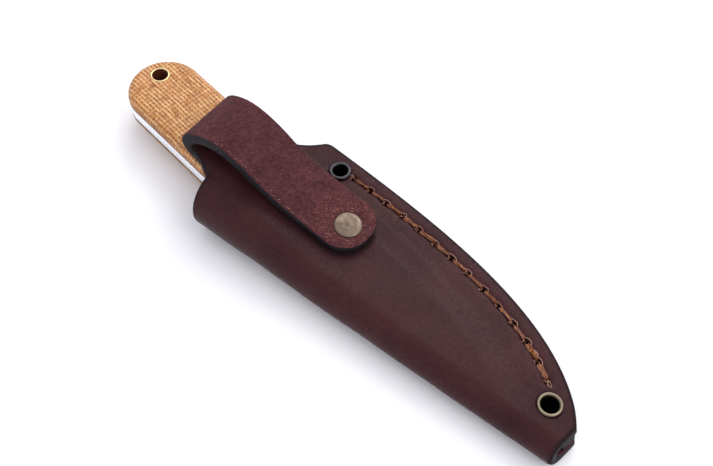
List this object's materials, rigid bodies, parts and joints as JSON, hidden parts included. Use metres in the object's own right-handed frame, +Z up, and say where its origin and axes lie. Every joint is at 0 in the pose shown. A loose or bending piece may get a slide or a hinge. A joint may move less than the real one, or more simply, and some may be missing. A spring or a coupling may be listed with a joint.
{
  "type": "whittling knife",
  "caption": "Full-tang whittling knife with fibre-laminate scales and a lanyard tube, in a stitched fold-over leather belt sheath it draws out of.",
  "frame": {"origin": "middle of the bounding box in plan, on the resting face of the sheath's front panel", "axes": "+X along the sheath's fold towards the point, +Y from the fold towards the stitched edge, +Z up from the front panel through the belt loop"},
  "size_m": [0.1728, 0.0456, 0.0298],
  "materials": {
    "grain_leather": "semi-matte waxed",
    "welt_leather": "burnished",
    "waxed_thread": "waxed twist",
    "antique_brass": "antiqued",
    "gunmetal": "blackened",
    "satin_steel": "belt ground",
    "dark_fibre": "matte",
    "micarta": "sanded fibre laminate",
    "bright_brass": "polished"
  },
  "bodies": {
    "sheath": {"sheath_leather": "grain_leather", "welt": "welt_leather", "stitching": "waxed_thread", "rivet_cap": "antique_brass", "rivet_back": "antique_brass", "upper_eyelet": "gunmetal", "upper_eyelet_washer": "gunmetal", "lower_eyelet": "antique_brass", "lower_eyelet_washer": "antique_brass"},
    "knife": {"blade": "satin_steel", "upper_liner": "dark_fibre", "lower_liner": "dark_fibre", "upper_scale": "micarta", "lower_scale": "micarta", "lanyard_tube": "bright_brass", "mid_pin": "bright_brass", "front_pin": "bright_brass"}
  },
  "joints": [
    {"name": "knife_draw", "type": "slide", "parent": "sheath", "child": "knife", "axis": [-0.9992, 0, 0.0399], "range_m": [0, 0.115]}
  ]
}
